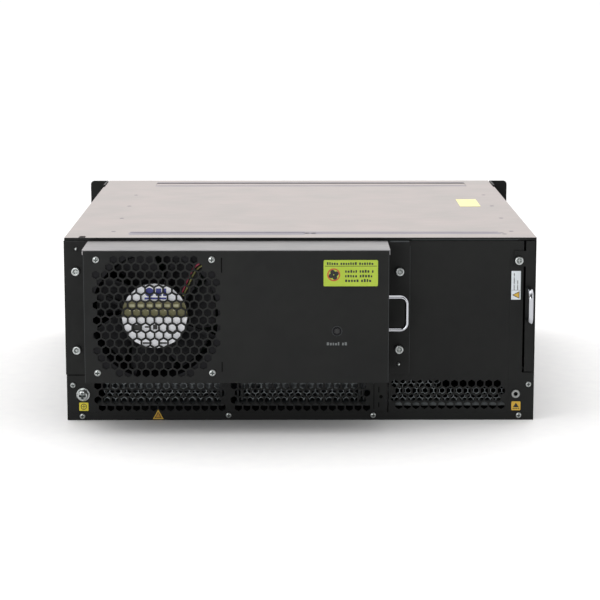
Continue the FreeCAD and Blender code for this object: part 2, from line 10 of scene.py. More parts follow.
import bmesh
import bpy
import numpy as np
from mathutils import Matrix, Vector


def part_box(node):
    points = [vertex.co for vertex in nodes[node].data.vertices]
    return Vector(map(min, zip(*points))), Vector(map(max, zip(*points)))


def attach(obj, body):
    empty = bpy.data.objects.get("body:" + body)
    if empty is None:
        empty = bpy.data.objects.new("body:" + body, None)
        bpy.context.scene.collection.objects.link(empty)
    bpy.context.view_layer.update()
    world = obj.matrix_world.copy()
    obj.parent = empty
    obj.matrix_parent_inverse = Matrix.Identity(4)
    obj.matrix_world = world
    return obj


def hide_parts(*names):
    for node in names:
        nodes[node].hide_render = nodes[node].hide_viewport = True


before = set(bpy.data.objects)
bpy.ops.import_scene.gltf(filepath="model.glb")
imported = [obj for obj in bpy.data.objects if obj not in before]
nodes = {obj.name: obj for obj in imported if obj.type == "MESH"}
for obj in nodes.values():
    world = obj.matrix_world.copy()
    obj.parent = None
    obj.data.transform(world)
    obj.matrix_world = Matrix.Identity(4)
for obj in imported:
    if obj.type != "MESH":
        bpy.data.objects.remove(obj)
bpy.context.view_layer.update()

MM = 0.001

# %% [markdown]
# Every place below is read from the frame, so that a piece can't drift away from the part that
# carries it. A node's box gives its low and high corners, and its middle gives a screw's axis.

# %% Places from the frame
def edges_of(node):
    """Low and high corner of a node in millimetres, as two numpy arrays."""
    low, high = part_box(node)
    return np.array(low) / MM, np.array(high) / MM


def middle_of(node):
    """Middle of a node's box, in millimetres."""
    low, high = edges_of(node)
    return (low + high) / 2


def solids_of(node):
    """Middles of the separate solids of a node: corners that share a place are one solid."""
    mesh = nodes[node].data
    points = np.zeros(len(mesh.vertices) * 3)
    mesh.vertices.foreach_get("co", points)
    points = points.reshape(-1, 3) / MM
    weld = 0.05
    welded = np.unique(np.round(points / weld).astype(int), axis=0, return_inverse=True)[1].reshape(-1)
    group = np.arange(welded.max() + 1)
    corners = np.zeros(len(mesh.loops), int)
    mesh.loops.foreach_get("vertex_index", corners)
    triangles = welded[corners].reshape(-1, 3)
    for _ in range(len(group)):
        lowest = group[triangles].min(axis=1)
        before = group.copy()
        for side in range(3):
            np.minimum.at(group, triangles[:, side], lowest)
        if (before == group).all():
            break
    owner = group[welded]
    boxes = [points[owner == key] for key in np.unique(owner)]
    return [(some.min(axis=0) + some.max(axis=0)) / 2 for some in boxes]


REAR = edges_of("rear_vent_panel")[0][1]
FLANGE = edges_of("tray_flange")[0][1]
BOX_FACE = edges_of("tray_front")[0][1]
print("rear plane", REAR, "flange", FLANGE, "box face", BOX_FACE)

# %% [markdown]
# The camera stands nearly two metres behind the rear, a little above the cover, with a long lens.
# A small upward shift of the lens keeps the uprights nearly parallel, as a product shot does.

# %% Camera
scene = bpy.context.scene
scene.view_settings.view_transform = "Standard"
lens = bpy.data.cameras.new("long_lens")
lens.lens = 113.25
lens.sensor_width = 36.0
lens.shift_y = -0.1
lens.clip_end = 200.0
aside, behind, above = -7.6, 1744.0, 445.9  # millimetres from the middle, the rear face and the floor
dip, swing = 8.897, -0.234  # degrees below level and round to the side
camera = bpy.data.objects.new("camera", lens)
camera.location = (aside * MM, (REAR - behind) * MM, above * MM)
camera.rotation_euler = (math.radians(90 - dip), 0.0, math.radians(swing))
scene.collection.objects.link(camera)
scene.camera = camera
print("camera", behind, "mm behind the rear face, lens", lens.lens, "mm")

# %% [markdown]
# Two helpers come first, since every finish needs them. Colours are written as sRGB hex values, as
# a paint chart gives them, but a shader works in linear light, so one function converts them. The
# other adds a node with its settings and links, which keeps a shader's recipe short to read.

# %% Colour and node helpers
def linear(hex_colour):
    """An sRGB hex colour as linear RGBA: the usual power curve with its short straight foot."""
    values = np.array([int(hex_colour[i : i + 2], 16) for i in (1, 3, 5)]) / 255
    curve = np.where(values <= 0.04045, values / 12.92, ((values + 0.055) / 1.055) ** 2.4)
    return (*curve.tolist(), 1.0)


def add_node(tree, kind, settings=None, inputs=None):
    """Adds a node, sets its properties, and fills or links its inputs."""
    node = tree.nodes.new(kind)
    for name, value in (settings or {}).items():
        setattr(node, name, value)
    for name, value in (inputs or {}).items():
        if isinstance(value, bpy.types.NodeSocket):
            tree.links.new(value, node.inputs[name])
        else:
            node.inputs[name].default_value = value
    return node


print("mid grey in linear light:", round(linear("#808080")[0], 3))

# %% [markdown]
# A studio for a black and grey product: white in front of the camera and overhead, and a darker
# room behind it. Bare metal mirrors the white, and the black panels, which face the camera,
# mirror the dark room and stay black. Four soft lamps give it form. One of them stands low behind
# the switch, so that the panels are lit evenly down to the floor.

# %% Surround, lights and floor
world = bpy.data.worlds.new("surround")
scene.world = world
world.use_nodes = True
sky = world.node_tree
direction = add_node(sky, "ShaderNodeTexCoord")
parts = add_node(sky, "ShaderNodeSeparateXYZ", inputs={"Vector": direction.outputs["Generated"]})
fade = {"Value": parts.outputs["Y"], "From Min": -0.7, "From Max": 0.1, "To Min": 0.14, "To Max": 1.52}
facing = add_node(sky, "ShaderNodeMapRange", inputs=fade)
sky.nodes["Background"].inputs["Color"].default_value = linear("#fffefd")
sky.links.new(facing.outputs["Result"], sky.nodes["Background"].inputs["Strength"])


def soft_light(name, place, aim, size, power):
    """A large square lamp at place, turned to face aim, both in metres."""
    lamp = bpy.data.lights.new(name, "AREA")
    lamp.size = size
    lamp.energy = power
    holder = bpy.data.objects.new(name, lamp)
    holder.location = place
    toward = np.array(aim) - np.array(place)
    turn = math.atan2(toward[1], toward[0])
    tip = math.atan2(math.hypot(toward[0], toward[1]), -toward[2])
    holder.rotation_euler = (tip, 0.0, turn - math.pi / 2)
    scene.collection.objects.link(holder)
    print(name, power, "W")


soft_light("top_light", (-0.4, -0.6, 2.6), (0.0, 0.0, 0.1), size=2.4, power=14.0)
soft_light("left_light", (-2.2, -1.9, 1.5), (0.0, -0.2, 0.1), size=1.4, power=7.0)
soft_light("right_light", (2.3, -1.9, 0.9), (0.0, 0.0, 0.1), size=1.4, power=8.0)
soft_light("front_light", (-0.7, -2.6, 0.4), (0.0, 0.0, 0.1), size=0.9, power=13.0)

floor_mesh = bpy.data.meshes.new("floor")
reach = 40.0
corners = [(-reach, -reach, 0), (reach, -reach, 0), (reach, reach, 0), (-reach, reach, 0)]
floor_mesh.from_pydata(corners, [], [(0, 1, 2, 3)])
floor = bpy.data.objects.new("floor", floor_mesh)
scene.collection.objects.link(floor)


# %% [markdown]
# Each finish starts from what the real one is. A new material is a Principled shader whose plain
# numbers sit on its own sockets. Its patterns are noises with their grain given in millimetres, and
# colour, gloss and relief each follow one, because a real surface is never quite even.

# %% Material helpers
def new_material(name, colour, rough, metal=0.0, specular=0.5):
    """A Principled material with its plain values; returns it with its tree and shader."""
    material = bpy.data.materials.new(name)
    material.use_nodes = True
    tree = material.node_tree
    shader = tree.nodes["Principled BSDF"]
    shader.inputs["Base Color"].default_value = linear(colour)
    shader.inputs["Roughness"].default_value = rough
    shader.inputs["Metallic"].default_value = metal
    shader.inputs["Specular IOR Level"].default_value = specular
    print("finish:", name)
    return material, tree, shader


def grain(tree, size_mm, stretch=(1.0, 1.0, 1.0)):
    """A noise whose spots are about size_mm across, drawn out along an axis by stretch."""
    place = add_node(tree, "ShaderNodeTexCoord")
    scale = [1.0 / (size_mm * MM * s) for s in stretch]
    fitted = add_node(tree, "ShaderNodeMapping", inputs={"Vector": place.outputs["Object"], "Scale": scale})
    given = {"Vector": fitted.outputs["Vector"], "Scale": 1.0, "Detail": 2.0}
    return add_node(tree, "ShaderNodeTexNoise", inputs=given).outputs["Fac"]


def two_tones(tree, shader, pattern, colour_a, colour_b, low=0.3, high=0.7):
    """Colours the surface from a to b as the pattern goes from low to high; returns the colour."""
    share = add_node(tree, "ShaderNodeMapRange", inputs={"Value": pattern, "From Min": low, "From Max": high})
    tones = {0: share.outputs["Result"], 6: linear(colour_a), 7: linear(colour_b)}
    mix = add_node(tree, "ShaderNodeMix", settings={"data_type": "RGBA"}, inputs=tones)
    tree.links.new(mix.outputs[2], shader.inputs["Base Color"])
    return mix.outputs[2]


def wandering_gloss(tree, shader, pattern, low, high):
    """Lets the roughness go from low to high over the middle span of a pattern, 0.3 to 0.7."""
    span = {"Value": pattern, "From Min": 0.3, "From Max": 0.7, "To Min": low, "To Max": high}
    gloss = add_node(tree, "ShaderNodeMapRange", inputs=span)
    tree.links.new(gloss.outputs["Result"], shader.inputs["Roughness"])


def raise_grain(tree, shader, height, depth_mm, strength=1.0, normal=None):
    """Lets a height pattern turn the shading, as if it stood depth_mm out of the surface.

    With a normal given, the pattern lies on that shading in place of the mesh's own.
    """
    given = {"Height": height, "Distance": depth_mm * MM, "Strength": strength}
    if normal is not None:
        given["Normal"] = normal
    bump = add_node(tree, "ShaderNodeBump", inputs=given)
    tree.links.new(bump.outputs["Normal"], shader.inputs["Normal"])


# %% [markdown]
# Black powder coat: sprayed as dry powder and baked, so it is matt with a fine orange-peel skin.
# The peel is about half a millimetre across. Its gloss wanders a little from place to place. The
# coat also rounds every edge, so a Bevel node turns the shading there, and edges catch the light.

# %% Black powder coat
def black_powder_coat(name, colour_a, colour_b):
    """Powder coat with a wandering gloss, softened edges and an orange-peel skin."""
    material, tree, shader = new_material(name, colour_a, 0.5, specular=0.16)
    two_tones(tree, shader, grain(tree, 60.0), colour_a, colour_b)
    wandering_gloss(tree, shader, grain(tree, 9.0), 0.44, 0.54)
    rounded = add_node(tree, "ShaderNodeBevel", settings={"samples": 4}, inputs={"Radius": 0.5 * MM})
    raise_grain(tree, shader, grain(tree, 0.5), 0.02, 0.5, rounded.outputs["Normal"])
    return material


powder_black = black_powder_coat("black_powder_coat", "#171818", "#1b1c1b")

# %% [markdown]
# The cover is galvanised sheet: zinc on steel, rolled, so it is a warm pale grey with a soft sheen
# and very faint marks along the rolling. The lid of the fan tray is the same sheet, a shade darker.
# Pressed beads and creases mirror a darker part of the room, so that reflection and their shade are
# painted into darker tones of their own, and the sheets inside and the screens behind the outlets are
# older, duller zinc.

# %% Galvanised sheet
def galvanised_sheet(name, colour_a, colour_b, rough_low, rough_high):
    """Rolled zinc: slow clouds of two greys, with fine marks drawn out thirty times along X."""
    material, tree, shader = new_material(name, colour_a, rough_low, metal=1.0)
    two_tones(tree, shader, grain(tree, 45.0), colour_a, colour_b)
    rolled = grain(tree, 0.8, (30.0, 1.0, 1.0))
    wandering_gloss(tree, shader, rolled, rough_low, rough_high)
    raise_grain(tree, shader, rolled, 0.004, 0.4)
    return material


cover_zinc = galvanised_sheet("galvanised_cover", "#a69d9b", "#9e9896", 0.42, 0.5)
# Darker copies of the cover's zinc: painted reflection and shade for the beads, creases and dimples.
bead_shade_zinc = galvanised_sheet("galvanised_bead_painted_shade", "#7f7a86", "#78737f", 0.36, 0.44)
lid_zinc = galvanised_sheet("galvanised_lid", "#7f7d7e", "#727274", 0.34, 0.46)
inner_zinc = galvanised_sheet("galvanised_inside", "#75787a", "#6a6d70", 0.4, 0.5)
dull_zinc = galvanised_sheet("dull_galvanised", "#6c7071", "#646869", 0.62, 0.72)
screen_zinc = galvanised_sheet("galvanised_screen", "#84898a", "#7a7f81", 0.5, 0.6)
crease_shade_zinc = galvanised_sheet("galvanised_crease_painted_shade", "#625e66", "#5a5660", 0.4, 0.5)

# %% [markdown]
# Screws are bright zinc plate: metal with a faint green-grey cast and small uneven patches. Shade
# gathers in a driver's recess and in a dished head, and the finish paints it: the heads below carry an
# attribute called recess_shade, from 0 on the plain metal to 1 at the bottom, and the finish darkens
# by it as painted shade. The wrist-strap socket is nickel plate, greyer and warmer. The handles are
# chrome plate, so hard and smooth that almost all they show is the studio.

# %% Zinc and chrome plate
def plated_metal(name, colour_a, colour_b):
    """Plate in two tones of patches a millimetre across, with painted shade where recess_shade rises to 1."""
    material, tree, shader = new_material(name, colour_a, 0.3, metal=1.0)
    patches = grain(tree, 1.2)
    plain = two_tones(tree, shader, patches, colour_a, colour_b)
    recess_shade = add_node(tree, "ShaderNodeAttribute", settings={"attribute_name": "recess_shade"})
    # 545a58 is the painted shade at the bottom of a recess.
    share = {0: recess_shade.outputs["Fac"], 6: plain, 7: linear("#545a58")}
    painted_shade_mix = add_node(tree, "ShaderNodeMix", settings={"data_type": "RGBA"}, inputs=share)
    tree.links.new(painted_shade_mix.outputs[2], shader.inputs["Base Color"])
    wandering_gloss(tree, shader, patches, 0.24, 0.38)
    return material


def chrome_plate(name):
    """Near-mirror metal with a faint smear, so that a highlight isn't perfectly even."""
    material, tree, shader = new_material(name, "#b6b8bd", 0.08, metal=1.0)
    wandering_gloss(tree, shader, grain(tree, 6.0, (1.0, 1.0, 3.0)), 0.06, 0.14)
    raise_grain(tree, shader, grain(tree, 2.5), 0.004, 0.3)
    return material


zinc_plate = plated_metal("bright_zinc_plate", "#bfc3c2", "#a9adac")
nickel_plate = plated_metal("nickel_plate", "#9c9e9d", "#888a89")
chrome = chrome_plate("chrome_plate")

# %% [markdown]
# Moulded black plastic for the fan: its frame is painted darker, as the shade behind the guard, and
# its blades lighter, as painted light in the deep cells. Green solder mask for the boards, soft foam
# for the filter, vinyl for the labels and insulated wire for the fan's leads.

# %% Plastics, board, foam, vinyl and wire
def moulded_plastic(name, colour_a, colour_b, rough=0.5, specular=0.4):
    """Plastic, vinyl, ink or paint: two close colours in slow clouds under a very fine skin."""
    material, tree, shader = new_material(name, colour_a, rough, specular=specular)
    two_tones(tree, shader, grain(tree, 14.0), colour_a, colour_b)
    raise_grain(tree, shader, grain(tree, 0.4), 0.01, 0.4)
    return material


def open_cell_foam(name):
    """Foam as round cells 1.5 mm apart, dark in their middles."""
    material, tree, shader = new_material(name, "#1a1b1b", 0.95, specular=0.2)
    place = add_node(tree, "ShaderNodeTexCoord")
    given = {"Vector": place.outputs["Object"], "Scale": 1.0 / (1.5 * MM)}
    cells = add_node(tree, "ShaderNodeTexVoronoi", inputs=given)
    two_tones(tree, shader, cells.outputs["Distance"], "#060606", "#2a2b2b", 0.0, 1.0)
    raise_grain(tree, shader, cells.outputs["Distance"], 0.5)
    return material


# One black plastic in two tones: darker as painted shade on the frame, lighter as painted light on the
# blades.
shaded_black_plastic = moulded_plastic("black_glass_filled_plastic", "#101013", "#131316", 0.6, 0.15)
lit_blade_plastic = moulded_plastic("black_blade_plastic", "#242427", "#1d1d20", 0.5, 0.3)
solder_mask = moulded_plastic("green_solder_mask", "#0f3a20", "#124426", 0.35)
foam = open_cell_foam("open_cell_foam")
lens_plastic = moulded_plastic("smoked_lens", "#121314", "#161718", 0.3)
white_vinyl = moulded_plastic("white_vinyl", "#f4f4f8", "#eceef3", 0.4)
lime_vinyl = moulded_plastic("lime_vinyl", "#a6bd38", "#a0b730", 0.45)
cream_vinyl = moulded_plastic("pale_yellow_vinyl", "#f3eba2", "#efe69a", 0.45)
amber_vinyl = moulded_plastic("amber_vinyl", "#d4ad3e", "#cba436", 0.4)
yellow_vinyl = moulded_plastic("yellow_vinyl", "#dccd34", "#d3c32c", 0.4)
silver_vinyl = moulded_plastic("silver_vinyl", "#dbe1e5", "#d2d9dd", 0.4)
# Black for painted shadow in slots, seams and the socket's bore, where only shade is seen.
shadow_black = moulded_plastic("painted_slot_shadow", "#060606", "#080808", 0.9, 0.05)
# A paler black: plain on the lamp ring and the screens' posts and feet, painted highlight on sheet edges.
pale_black_and_edge_highlight = moulded_plastic("pale_black_and_painted_edge_highlight", "#2c2f30", "#272a2b", 0.5, 0.3)
# A greyer black: a brighter painted highlight along the flange's top edge.
edge_highlight_grey = moulded_plastic("painted_edge_highlight_grey", "#44484a", "#3e4244", 0.5, 0.3)
red_wire = moulded_plastic("red_wire_insulation", "#8e1f3c", "#821a36", 0.4)
yellow_wire = moulded_plastic("yellow_wire_insulation", "#6b6a2c", "#5c5b24", 0.4)
floor_paint = moulded_plastic("matt_floor_paint", "#fafafa", "#f7f7f8", 0.9)
floor_mesh.materials.append(floor_paint)


# %% [markdown]
# A node from the frame keeps its mesh, and only its material changes. Folded sheet, boards, foam
# and wire need no more than that, because the coat's Bevel node softens the sharp edges of steel.

# %% Finish the nodes that stay
def paint(material, *names):
    """Gives nodes of the frame one material in place of what they had."""
    print(material.name, "on", len(names), "nodes")
    for name in names:
        slots = nodes[name].data.materials
        slots.clear()
        slots.append(material)


paint(
    powder_black,
    "base_pan", "side_wall_left", "side_wall_right", "rear_header", "rear_jamb", "rear_vent_panel",
    "rear_side_panel", "rear_side_strip", "rack_ear_left", "rack_ear_right", "front_jambs", "power_bay_cover",
    "tray_flange", "tray_box", "tray_front", "filter_front", "ear_screws",
    "control_unit_left", "control_unit_right", "line_card_1", "line_card_2", "line_card_3",
)
paint(cover_zinc, "top_cover")
paint(lid_zinc, "tray_lid")
paint(
    inner_zinc,
    "shelf", "bay_walls", "cage_walls", "filter_guides", "filter_frame",
    "power_module_left", "power_module_right",
)
paint(shaded_black_plastic, "fan_frame", "backplane_connectors", "tray_plug", "card_guides")
paint(lit_blade_plastic, "fan_rotor")
paint(solder_mask, "control_board", "backplane_board")
paint(foam, "filter_media")
paint(lens_plastic, "status_lens")
paint(white_vinyl, "motor_label")
paint(silver_vinyl, "side_label")
paint(lime_vinyl, "tray_label")
paint(cream_vinyl, "cover_label")
paint(yellow_vinyl, "panel_labels")
paint(amber_vinyl, "triangle_label")
paint(red_wire, "fan_lead_red")
paint(yellow_wire, "fan_lead_black")


# %% [markdown]
# New pieces are grids. A function gives a block of points, rows by columns, and one helper turns
# any such block into faces, closing it round one way where the shape goes all round.

# %% Grid and piece helpers
def grid_faces(rows, columns, round_rows=False, round_columns=False, start=0):
    """Corner numbers of the quads of a grid of points, counted row by row."""
    row = np.arange(rows if round_rows else rows - 1)
    column = np.arange(columns if round_columns else columns - 1)
    r, c = np.meshgrid(row, column, indexing="ij")
    r_next, c_next = (r + 1) % rows, (c + 1) % columns
    here, there = r * columns, r_next * columns
    quads = np.stack([here + c, here + c_next, there + c_next, there + c], -1)
    return quads.reshape(-1, 4) + start


def bar_faces(rows, columns, start=0):
    """Faces of a closed bar: each row of points is a loop, and the first and the last are its ends."""
    first = list(range(start, start + columns))
    last = [corner + (rows - 1) * columns for corner in first]
    return grid_faces(rows, columns, round_columns=True, start=start).tolist() + [first[::-1], last]


def make_piece(name, points_mm, faces, material, body, replaced=(), sharp=35.0):
    """A closed mesh from points in millimetres, its faces turned outwards, riding on its body.

    It is shaded smooth wherever two faces meet at less than the sharp angle, in degrees.
    """
    mesh = bpy.data.meshes.new(name)
    faces = [list(face) for face in faces]
    mesh.from_pydata((np.asarray(points_mm).reshape(-1, 3) * MM).tolist(), [], faces)
    mesh.validate()
    shell = bmesh.new()
    shell.from_mesh(mesh)
    bmesh.ops.recalc_face_normals(shell, faces=shell.faces)
    shell.to_mesh(mesh)
    shell.free()
    mesh.shade_smooth()
    mesh.set_sharp_from_angle(angle=math.radians(sharp))
    mesh.materials.append(material)
    piece = bpy.data.objects.new(name, mesh)
    scene.collection.objects.link(piece)
    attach(piece, body)
    if replaced:
        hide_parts(*replaced)
    print(name, "on", body, "with", len(faces), "faces")
    return piece


# %% [markdown]
# A screw's head is a turned surface: a profile of radius and height swung round the axis. The
# driver's cross is pressed into the same surface, by sinking the points near two crossed lines.

# %% Turned pieces and screw heads
def turned(centres, profile, spokes=40):
    """Points about the Y axis at each centre, rings by spokes.

    A point at turn t and profile step k is the centre plus radius_k times (cos t, sin t) in the
    upright plane, and height_k out of the face.
    """
    radius, height = np.array(profile, float).T
    turn = np.linspace(0, 2 * np.pi, spokes, endpoint=False)
    x, z = radius[:, None] * np.cos(turn), radius[:, None] * np.sin(turn)
    y = np.repeat(-height[:, None], spokes, axis=1)
    return np.array(centres)[:, None, None, :] + np.stack([x, y, z], -1)[None]


def turned_faces(count, rings, spokes):
    """Quads of each turned shape, with its foot and its tip closed."""
    size = rings * spokes
    return [face for step in range(count) for face in bar_faces(rings, spokes, step * size)]


def press_cross(heads, centres, reach, depth):
    """Sinks a cross into the heads: 1 in an arm, 0 outside, with short slopes between.

    With n the lesser and w the greater of |x| and |z| from the axis, the share is
    clip((0.3 reach - n) / (0.12 reach)) times clip((reach - w) / (0.2 reach)), and 0 in the
    lower half of the head.
    """
    away = abs(heads - np.array(centres)[:, None, None, :])
    narrow, wide = np.minimum(away[..., 0], away[..., 2]), np.maximum(away[..., 0], away[..., 2])
    across = np.clip((0.3 * reach - narrow) / (0.12 * reach), 0, 1)
    along = np.clip((reach - wide) / (0.2 * reach), 0, 1)
    share = across * along * (away[..., 1] > 0.5 * away[..., 1].max())
    heads[..., 1] += depth * share
    return share


def head_pieces(name, centres, profile, body, replaced=(), cross=0.0, depth=0.0, dish=0.0):
    """One mesh with a zinc head at each centre, with painted shade in its cross and within its dish."""
    spokes = 40
    heads = turned(centres, profile, spokes)
    share = press_cross(heads, centres, cross, depth) if cross else np.zeros(heads.shape[:3])
    radius = np.array(profile)[:, 0][None, :, None]
    # Painted shade: 0.8 within the dish, 0.3 on the cross's arms there as a painted highlight, and the
    # cross's recess outside it.
    share = np.where(radius < dish, 0.8 - 0.5 * share, share)
    faces = turned_faces(len(centres), len(profile), spokes)
    piece = make_piece(name, heads, faces, zinc_plate, body, replaced, sharp=30.0)
    recess_shade = piece.data.attributes.new("recess_shade", "FLOAT", "POINT")
    recess_shade.data.foreach_set("value", share.ravel())


def pan_profile(radius, height):
    """From the foot up the side, round the shoulder and over a shallow crown to the middle."""
    shoulder = np.linspace(0, np.pi / 2, 6)
    soft = min(radius * 0.35, height * 0.6)
    reach, rim = radius - soft, 0.86 * height
    side = [(reach + soft * math.cos(a), rim - soft + soft * math.sin(a)) for a in shoulder]
    crown = [(reach * k, rim + (height - rim) * (1 - k * k)) for k in np.linspace(0.93, 0.02, 14)]
    return [(radius, 0.0)] + side + crown


def at_face(centres, y):
    """The same places, moved onto the plane y."""
    return [(centre[0], y, centre[2]) for centre in centres]


fan_places = at_face(solids_of("fan_screws"), BOX_FACE)
panel_places = at_face(solids_of("panel_screws"), REAR)
fan_pan, panel_pan = pan_profile(3.05, 1.6), pan_profile(2.6, 1.5)
head_pieces("fan_pan_heads", fan_places, fan_pan, "fan_tray", ("fan_screws",), cross=2.0, depth=1.1)
head_pieces("panel_pan_heads", panel_places, panel_pan, "chassis", ("panel_screws",), cross=1.7, depth=1.0)
print("pan heads:", len(fan_places), "on the fan,", len(panel_places), "on the panels")

# %% [markdown]
# The tray's and the filter's screws stay with their sheet: a captive screw is a short post with a
# collar, and a broad head that stands off the face so that fingers or a driver can turn it.

# %% Captive screws
def captive_profile(radius, length):
    """A collar at the foot, a waist, then a broad head with rounded edges and a dished top."""
    collar, waist = radius * 0.92, radius * 0.78
    head_start = length * 0.45
    profile = [(collar, 0.0), (collar, length * 0.16), (waist, length * 0.2), (waist, head_start)]
    profile += [(radius * 0.95, head_start), (radius, head_start + 0.25), (radius, length - 0.45)]
    profile += [(radius - 0.12, length - 0.15), (radius - 0.4, length), (radius * 0.74, length)]
    profile += [(radius * 0.68, length - 0.18)]
    profile += [(radius * 0.66 * k, length - 0.2) for k in np.linspace(0.95, 0.02, 12)]
    return profile


corners = ("upper_left", "lower_left", "upper_right", "lower_right")
for screw in [f"captive_screw_{corner}" for corner in corners] + ["filter_screw"]:
    low, high = edges_of(screw)
    places = at_face([middle_of(screw)], high[1])
    profile = captive_profile(3.88, high[1] - low[1])
    head_pieces(screw + "_head", places, profile, screw, (screw,), cross=2.3, depth=0.5, dish=2.6)

# %% [markdown]
# The earthing screw is bigger: a plain washer under a tall round head with a driver's cross. The
# wrist-strap socket is a turned collar with a bore, and the two locating pins have domed tips.

# %% Earthing screw, socket and pins
ground = middle_of("ground_screw")
ground_profile = [(6.35, 0.0), (6.35, 0.8), (6.2, 1.0), (5.2, 1.0), (5.2, 1.3)]
ground_profile += [(r, h + 1.0) for r, h in pan_profile(5.2, 7.0)[1:]]
head_pieces(
    "earthing_screw", at_face([ground], REAR), ground_profile, "chassis", ("ground_screw",),
    cross=3.4, depth=2.2,
)
paint(nickel_plate, "wrist_strap_jack")
pin_places = at_face(solids_of("locating_pins"), FLANGE)
dome = [(1.5 * math.cos(a), 0.2 + 1.25 * math.sin(a)) for a in np.linspace(0, 1.5, 8)]
head_pieces("pin_tips", pin_places, [(1.5, -1.4)] + dome, "chassis", ("locating_pins",))


# %% [markdown]
# The two bow handles are flat-oval chrome bar, bent round twice. The bar's section is carried
# along the bow's centre line, which is three straight runs joined by two quarter circles.

# %% Bow handles
def bow_line(length, reach, bend, steps=12):
    """Centre line of a bow: out from the foot, a quarter circle, along, a quarter circle, back.

    Returns (u, v) points and the (u, v) outward direction at each, u out from the wall.
    """
    quarter = np.linspace(0, np.pi / 2, steps)
    first_u, first_v = reach - bend + bend * np.sin(quarter), bend - bend * np.cos(quarter)
    second_u, second_v = reach - bend + bend * np.cos(quarter), length - bend + bend * np.sin(quarter)
    u = np.concatenate([[0.0], first_u, second_u, [0.0]])
    v = np.concatenate([[0.0], first_v, second_v, [length]])
    out_u = np.concatenate([[0.0], np.sin(quarter), np.cos(quarter), [0.0]])
    out_v = np.concatenate([[-1.0], -np.cos(quarter), np.sin(quarter), [1.0]])
    return np.stack([u, v], -1), np.stack([out_u, out_v], -1)


def oval_section(thick, wide, steps=20):
    """A flat oval, a little squarer than an ellipse: cos and sin to the power 0.85."""
    turn = np.linspace(0, 2 * np.pi, steps, endpoint=False)
    power = 0.85
    across = np.sign(np.cos(turn)) * abs(np.cos(turn)) ** power * thick / 2
    along = np.sign(np.sin(turn)) * abs(np.sin(turn)) ** power * wide / 2
    return across, along


def bow_handle(name, node, origin, out_axis, wide_axis, length, reach, thick, wide, body):
    """Sweeps the oval along the bow: point = origin + u out + v up + section across and along."""
    bend = 6.35
    line, outward = bow_line(length - thick, reach - thick / 2, bend)
    line[:, 1] += thick / 2
    across, along = oval_section(thick, wide)
    u = line[:, None, 0] + outward[:, None, 0] * across
    v = line[:, None, 1] + outward[:, None, 1] * across
    w = np.repeat(along[None], len(line), axis=0)
    out, up, broad = np.array(out_axis), np.array([0.0, 0.0, 1.0]), np.array(wide_axis)
    points = np.array(origin) + u[..., None] * out + v[..., None] * up + w[..., None] * broad
    make_piece(name, points, bar_faces(*w.shape), chrome, body, (node,), sharp=60.0)


low, high = edges_of("tray_handle")
bow_handle(
    "tray_bow", "tray_handle", (low[0], (low[1] + high[1]) / 2, low[2]), (1, 0, 0), (0, 1, 0),
    length=high[2] - low[2], reach=high[0] - low[0], thick=3.9, wide=high[1] - low[1], body="fan_tray",
)
low, high = edges_of("filter_handle")
bow_handle(
    "filter_bow", "filter_handle", ((low[0] + high[0]) / 2, high[1], low[2]), (0, -1, 0), (1, 0, 0),
    length=high[2] - low[2], reach=high[1] - low[1], thick=3.3, wide=high[0] - low[0], body="air_filter",
)


# %% [markdown]
# Labels carry plain print only: bars, rings and fields of colour. A picture laid on the vinyl turns
# soft close by, but a shape keeps its edge, so each is a very thin prism over an outline.

# %% Thin printed shapes
def thin_shapes(name, outlines, y, material, body, thick=0.03, replaced=()):
    """Closed thin prisms from (x, z) outlines, standing on the plane y towards the rear."""
    points, faces, start = [], [], 0
    for outline in outlines:
        flat = np.array(outline, float)
        count = len(flat)
        back = np.stack([flat[:, 0], np.full(count, y), flat[:, 1]], -1)
        points += [back, back - np.array([0, thick, 0])]
        faces += bar_faces(2, count, start)
        start += 2 * count
    make_piece(name, np.concatenate(points), faces, material, body, replaced, sharp=20.0)


def bar_shape(x, z, width, height, corner=0.0):
    """A bar, with its corners rounded by quarter circles where a corner radius is given."""
    if not corner:
        return [(x, z), (x + width, z), (x + width, z + height), (x, z + height)]
    turn = np.linspace(0, np.pi / 2, 5) + np.arange(4)[:, None] * np.pi / 2
    right, top = x + width - corner, z + height - corner
    middle_x = np.array([right, x + corner, x + corner, right])[:, None]
    middle_z = np.array([top, top, z + corner, z + corner])[:, None]
    corners = np.stack([middle_x + corner * np.cos(turn), middle_z + corner * np.sin(turn)], -1)
    return corners.reshape(-1, 2)


def words(x, z, width, height, seed, upright=False):
    """A line of made-up print: letter-sized bars of uneven height, with gaps between words."""
    chance = np.random.default_rng(seed)
    shapes, place, letters_left = [], 0.0, 5
    while place < width - height * 0.5:
        wide = height * chance.uniform(0.45, 0.7)
        tall = height * chance.uniform(0.7, 1.0)
        if upright:
            shapes.append(bar_shape(x, z + place, tall, wide))
        else:
            shapes.append(bar_shape(x + place, z, wide, tall))
        letters_left -= 1
        gap = 0.3 if letters_left else 0.9
        letters_left = letters_left or int(chance.integers(3, 8))
        place += wide + gap * height
    return shapes


def disc_shape(x, z, radius, steps=28):
    """A round outline: the centre plus radius times (cos t, sin t)."""
    turn = np.linspace(0, 2 * np.pi, steps, endpoint=False)
    return np.stack([x + radius * np.cos(turn), z + radius * np.sin(turn)], -1)


def band_shape(x, z, radius, low, high, steps=14):
    """The part of a disc between two heights: two straight edges and two arcs."""
    right = np.linspace(math.asin(low / radius), math.asin(high / radius), steps)
    left = np.pi - right[::-1]
    turn = np.concatenate([right, left])
    return np.stack([x + radius * np.cos(turn), z + radius * np.sin(turn)], -1)


print("corners of a disc:", len(disc_shape(0, 0, 1)))

